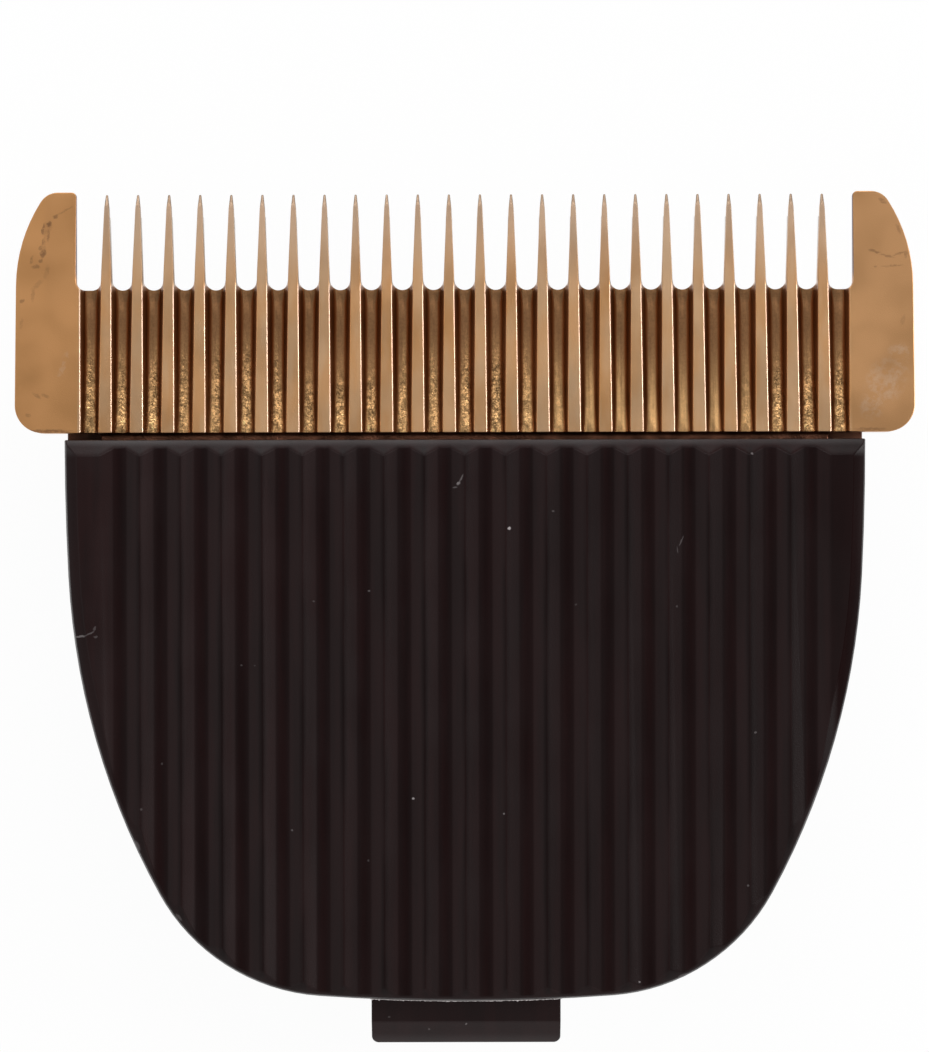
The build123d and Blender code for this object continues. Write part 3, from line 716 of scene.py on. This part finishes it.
def black_moulding(colours):
    """Black plastic of the holder with a fine skin, dust and a few scratches, and painted shade and light
    on parts of it.
    """
    material, tree = finish("black_moulding")
    spot = HolderPlace(tree)
    base, gloss = fluted_face(tree, colours, spot)
    skin = tree.noise(spot.whole, 18.0, detail=1.0)
    surface = tree.principled(
        Base_Color=dust_and_seam_shade(tree, colours, spot, base),
        Roughness=tree.spread(tree.noise(spot.whole, 0.25), 0.34, 0.44),
        Specular_IOR_Level=rim_gloss(tree, spot, gloss),
        Normal=tree.bump(skin, 0.012 * MM, strength=0.5),
    )
    tree.output(surface)
    return material


def plain_finish(name, tint, roughness, grain_scale, metallic=0.0, stretch=(1, 1, 1)):
    """A finish with light variation and a fine grain."""
    material, tree = finish(name)
    place = tree.place(stretch)
    grain = tree.noise(place, grain_scale, detail=3.0)
    surface = tree.principled(
        Base_Color=tree.shade(tint, tree.spread(grain, 0.94, 1.04)),
        Metallic=metallic,
        Roughness=tree.spread(grain, roughness - 0.06, roughness + 0.06),
        Normal=tree.bump(grain, 0.01 * MM, strength=0.4),
    )
    tree.output(surface)
    return material


class OBJECT_OT_clipper_comb(Operator):
    """Round the edges of the comb and give it its worn gold coat"""

    bl_idname = "object.clipper_comb"
    bl_label = "Comb"

    def execute(self, context):
        sizes = context.scene.clipper_sizes
        material = gold_coat(context.scene.clipper_colours)
        soften("fixed_blade", material, sizes.comb_edge, hollow=sizes.groove_hollow)
        return {"FINISHED"}


class OBJECT_OT_clipper_holder(Operator):
    """Round the edges of the holder and give it its black moulded skin"""

    bl_idname = "object.clipper_holder"
    bl_label = "Holder"

    def execute(self, context):
        sizes = context.scene.clipper_sizes
        material = black_moulding(context.scene.clipper_colours)
        soften("holder", material, sizes.holder_edge, hollow=sizes.holder_edge)
        return {"FINISHED"}


class OBJECT_OT_clipper_flash(Operator):
    """Lay the ragged line of mould flash along the holder over its tongue, pale also as a painted highlight
    of the rim's lower edge
    """

    bl_idname = "object.clipper_flash"
    bl_label = "Mould flash"

    half_width = 4.8 * MM
    thickness = 0.05 * MM
    level = 7.9 * MM
    steps = 150
    seed = 7
    burr_share = 0.06
    burr_reach = (0.8, 1.2)
    plain_reach = (0.45, 0.75)
    ripple = 0.3

    def execute(self, context):
        reach = context.scene.clipper_sizes.flash_reach
        draw = Random(self.seed)
        shape = bmesh.new()
        bmesh.ops.create_grid(shape, x_segments=self.steps, y_segments=1, size=self.half_width)
        for vertex in shape.verts:
            x = vertex.co.x
            wall = REAR_Y * MM + x * x / (2 * REAR_RADIUS * MM)
            burr = draw.random() < self.burr_share
            ragged = draw.uniform(*(self.burr_reach if burr else self.plain_reach))
            vertex.co.y = wall - ragged * reach if vertex.co.y < 0 else wall + reach
            vertex.co.z = self.level + draw.uniform(-self.ripple, self.ripple) * self.thickness
        bmesh.ops.solidify(shape, geom=shape.faces, thickness=self.thickness)
        bmesh.ops.recalc_face_normals(shape, faces=shape.faces)
        tint = context.scene.clipper_colours.flash
        # Its pale colour is also a painted highlight
        pale = plain_finish("flash_and_highlight", tint, roughness=0.5, grain_scale=9.0)
        add_piece("mould_flash_and_highlight", shape, pale, "blade_body")
        return {"FINISHED"}


class OBJECT_OT_clipper_works(Operator):
    """Finish the cutter, its carriage, the guide plate and the screws"""

    bl_idname = "object.clipper_works"
    bl_label = "Works"

    def execute(self, context):
        colours = context.scene.clipper_colours
        edge = context.scene.clipper_sizes.works_edge
        ceramic = plain_finish("ceramic", colours.ceramic, roughness=0.35, grain_scale=14.0)
        soften("moving_blade", ceramic, edge / 2)
        grey = plain_finish("grey_moulding", colours.grey_plastic, roughness=0.5, grain_scale=12.0)
        soften("drive_yoke", grey, edge, hollow=edge)
        brushed = plain_finish(
            "brushed_steel",
            colours.steel,
            roughness=0.38,
            grain_scale=6.0,
            metallic=1.0,
            stretch=(0.1, 4, 4),
        )
        soften("guide_plate", brushed, edge)
        turned = plain_finish("screw_steel", colours.steel, roughness=0.32, grain_scale=5.0, metallic=1.0)
        soften("blade_screws", turned, edge, hollow=edge)
        return {"FINISHED"}


class OBJECT_OT_clipper_spring(Operator):
    """Wind the tension spring from round wire"""

    bl_idname = "object.clipper_spring"
    bl_label = "Tension spring"

    wire = 0.35 * MM
    coil_radius = 1.55 * MM
    coil_pitch = 0.76 * MM
    coil_turns = 2
    coil_start = Vector((7.2, SEAM_Y - 12.6, 4.6)) * MM
    hook = Vector((0, SEAM_Y - 18.6, 4.08)) * MM
    arm_tip = Vector((0, SEAM_Y + 2.2, 3.48)) * MM
    bend_radius = 1.0 * MM
    bend_steps = 9
    mirror_gap = 0.0001 * MM
    weld_gap = 0.001 * MM

    def execute(self, context):
        sizes = context.scene.clipper_sizes
        shape = bmesh.new()
        self.wind(shape, sizes)
        right_half = shape.verts[:] + shape.edges[:] + shape.faces[:]
        bmesh.ops.mirror(shape, geom=right_half, axis="X", merge_dist=self.mirror_gap)
        bmesh.ops.remove_doubles(shape, verts=shape.verts, dist=self.weld_gap)
        bmesh.ops.recalc_face_normals(shape, faces=shape.faces)
        tint = context.scene.clipper_colours.steel
        wire = plain_finish("spring_wire", tint, roughness=0.3, grain_scale=4.0, metallic=1.0)
        spring = add_piece("spring_wire", shape, wire, "blade_body")
        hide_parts("tension_spring")
        return {"FINISHED"}

    def tangent_angles(self):
        """Angles on the coil, seen along X, at which the leg and the arm leave it, and their lengths."""
        centre = self.coil_start
        leg = Vector((self.hook.y - centre.y, self.hook.z - centre.z))
        arm = Vector((self.arm_tip.y - centre.y, self.arm_tip.z - centre.z))
        leg_angle = atan2(leg.y, leg.x) + acos(self.coil_radius / leg.length) - 2 * pi
        arm_angle = atan2(arm.y, arm.x) - acos(self.coil_radius / arm.length)
        leg_run = sqrt(leg.length_squared - self.coil_radius**2)
        arm_run = sqrt(arm.length_squared - self.coil_radius**2)
        return leg_angle, arm_angle, leg_run, arm_run

    def wind(self, shape, sizes):
        """Make the right half of the spring: coil, arm, leg, bend and half of the bridge."""
        leg_angle, arm_angle, leg_run, arm_run = self.tangent_angles()
        sweep = self.coil_turns * 2 * pi + arm_angle - leg_angle
        slope = self.coil_pitch / (2 * pi * self.coil_radius)
        rise = slope * self.coil_radius * sweep

        def along(angle):
            return Vector((slope, -sin(angle), cos(angle))).normalized()

        start = self.coil_start + self.coil_radius * Vector((0, cos(leg_angle), sin(leg_angle)))
        ring = bmesh.ops.create_circle(shape, radius=self.wire, segments=sizes.wire_segments)["verts"]
        turn = along(leg_angle).to_track_quat("Z", "Y").to_matrix().to_4x4()
        bmesh.ops.transform(shape, matrix=Matrix.Translation(start) @ turn, verts=ring)
        first = list({edge for vertex in ring for edge in vertex.link_edges})
        coil = bmesh.ops.spin(
            shape,
            geom=ring + first,
            cent=self.coil_start,
            axis=(1, 0, 0),
            dvec=(rise / sizes.coil_steps, 0, 0),
            angle=sweep,
            steps=sizes.coil_steps,
        )["geom_last"]
        end = self.draw_out(shape, coil, along(arm_angle) * arm_run * sqrt(1 + slope**2))
        bmesh.ops.edgeloop_fill(shape, edges=end)

        leg_way = -along(leg_angle)
        corner = start + leg_way * leg_run * sqrt(1 + slope**2)
        inward = Vector((-1, 0, 0))
        bend = leg_way.angle(inward)
        cut = self.bend_radius * tan(bend / 2)
        axis = leg_way.cross(inward).normalized()
        bend_start = corner - leg_way * cut
        leg = self.draw_out(shape, first, bend_start - start)
        hub = bend_start + axis.cross(leg_way) * self.bend_radius
        leg_verts = list({vertex for edge in leg for vertex in edge.verts})
        bent = bmesh.ops.spin(
            shape,
            geom=leg_verts + leg,
            cent=hub,
            axis=axis,
            angle=bend,
            steps=self.bend_steps,
        )["geom_last"]
        bridge = self.draw_out(shape, bent, inward * (corner.x - cut))
        for vertex in {vertex for edge in bridge for vertex in edge.verts}:
            vertex.co.x = 0

    def draw_out(self, shape, geometry, way):
        """Extrude a ring of the wire and return the edges of its new end."""
        edges = [item for item in geometry if isinstance(item, bmesh.types.BMEdge)]
        made = bmesh.ops.extrude_edge_only(shape, edges=edges)["geom"]
        verts = [item for item in made if isinstance(item, bmesh.types.BMVert)]
        bmesh.ops.translate(shape, verts=verts, vec=way)
        new_edges = [item for item in made if isinstance(item, bmesh.types.BMEdge)]
        return [edge for edge in new_edges if set(edge.verts) <= set(verts)]


class SCENE_OT_clipper_studio(Operator):
    """Set the floor, the light and the camera"""

    bl_idname = "scene.clipper_studio"
    bl_label = "Studio"

    # Name, place and size in metres, and power in watts
    lights = (
        ("key_light", (0, 0.42, 0.24), (0.4, 0.18), 1.0),
        ("side_light", (0.45, 0.05, 0.14), (0.3, 0.12), 1.7),
    )
    floor_grey = (0.85, 0.85, 0.85)
    floor_glow = 0.96
    white = (1, 1, 1)
    sky_level = 0.78
    overhead_level = 0.24
    overhead_start = 0.78
    overhead_end = 0.98
    sensor_width = 36.0
    nearest, farthest = 0.01, 10.0

    def execute(self, context):
        studio = context.scene.clipper_studio
        self.lay_floor(studio)
        self.light_world(context.scene)
        for light in self.lights:
            self.hang_light(*light)
        self.set_camera(context.scene, studio)
        context.scene.view_settings.view_transform = "Standard"
        return {"FINISHED"}

    def lay_floor(self, studio):
        shape = bmesh.new()
        bmesh.ops.create_grid(shape, x_segments=1, y_segments=1, size=studio.floor_size / 2)
        mesh = bpy.data.meshes.new("floor")
        shape.to_mesh(mesh)
        shape.free()
        floor = bpy.data.objects.new("floor", mesh)
        bpy.context.scene.collection.objects.link(floor)
        material, tree = finish("white_floor")
        path = tree.node("ShaderNodeLightPath").outputs
        seen = tree.math("ADD", path["Is Camera Ray"], path["Is Glossy Ray"])
        seen = tree.math("ADD", seen, path["Is Transmission Ray"], clamp=True)
        matte = tree.node("ShaderNodeBsdfDiffuse", Color=self.floor_grey).outputs[0]
        glow = tree.node("ShaderNodeEmission", Color=self.white, Strength=1.0).outputs[0]
        tree.output(tree.switch(tree.math("MULTIPLY", seen, self.floor_glow), matte, glow))
        mesh.materials.append(material)

    def light_world(self, scene):
        world = bpy.data.worlds.new("studio")
        scene.world = world
        world.use_nodes = True
        tree = FinishTree(world.node_tree)
        direction = tree.node("ShaderNodeTexCoord").outputs["Generated"]
        height = tree.parts(direction)[2]
        levels = (self.sky_level, self.overhead_level)
        sky = tree.ramp(height, self.overhead_start, self.overhead_end, *levels)
        path = tree.node("ShaderNodeLightPath").outputs
        level = tree.mix(path["Is Camera Ray"], sky, self.white)
        glow = tree.node("ShaderNodeBackground", Color=level, Strength=1.0).outputs[0]
        tree.output(glow, "ShaderNodeOutputWorld")

    def hang_light(self, name, place, size, power):
        data = bpy.data.lights.new(name, "AREA")
        data.shape = "RECTANGLE"
        data.size, data.size_y = size
        data.energy = power
        lamp = bpy.data.objects.new(name, data)
        lamp.location = place
        lamp.rotation_euler = Vector(place).to_track_quat("Z", "X").to_euler()
        bpy.context.scene.collection.objects.link(lamp)

    def set_camera(self, scene, studio):
        data = bpy.data.cameras.new("camera")
        camera = bpy.data.objects.new("camera", data)
        scene.collection.objects.link(camera)
        height = studio.view_level + studio.camera_distance
        camera.location = (studio.view_side, studio.view_middle, height)
        camera.rotation_euler = (0, 0, studio.view_roll)
        data.sensor_width = self.sensor_width
        data.lens = data.sensor_width * studio.camera_distance / studio.view_height
        data.clip_start = self.nearest
        data.clip_end = self.farthest
        scene.camera = camera


class VIEW3D_PT_clipper_blade(Panel):
    """Lists the steps that finish the clipper blade"""

    bl_label = "Clipper blade"
    bl_idname = "VIEW3D_PT_clipper_blade"
    bl_space_type = "VIEW_3D"
    bl_region_type = "UI"
    bl_category = "Clipper blade"

    def draw(self, context):
        for step in STEPS:
            self.layout.operator(step.bl_idname)


STEPS = (
    OBJECT_OT_clipper_comb,
    OBJECT_OT_clipper_holder,
    OBJECT_OT_clipper_flash,
    OBJECT_OT_clipper_works,
    OBJECT_OT_clipper_spring,
    SCENE_OT_clipper_studio,
)
GROUPS = {
    "clipper_colours": ClipperBladeColours,
    "clipper_sizes": ClipperBladeSizes,
    "clipper_studio": ClipperBladeStudio,
}


def register():
    for name, group in GROUPS.items():
        bpy.utils.register_class(group)
        setattr(bpy.types.Scene, name, PointerProperty(type=group))
    for step in STEPS:
        bpy.utils.register_class(step)
    bpy.utils.register_class(VIEW3D_PT_clipper_blade)


def unregister():
    bpy.utils.unregister_class(VIEW3D_PT_clipper_blade)
    for step in reversed(STEPS):
        bpy.utils.unregister_class(step)
    for name, group in GROUPS.items():
        delattr(bpy.types.Scene, name)
        bpy.utils.unregister_class(group)


def main():
    register()
    bpy.ops.object.clipper_comb()
    bpy.ops.object.clipper_holder()
    bpy.ops.object.clipper_flash()
    bpy.ops.object.clipper_works()
    bpy.ops.object.clipper_spring()
    bpy.ops.scene.clipper_studio()


if __name__ == "__main__":
    main()
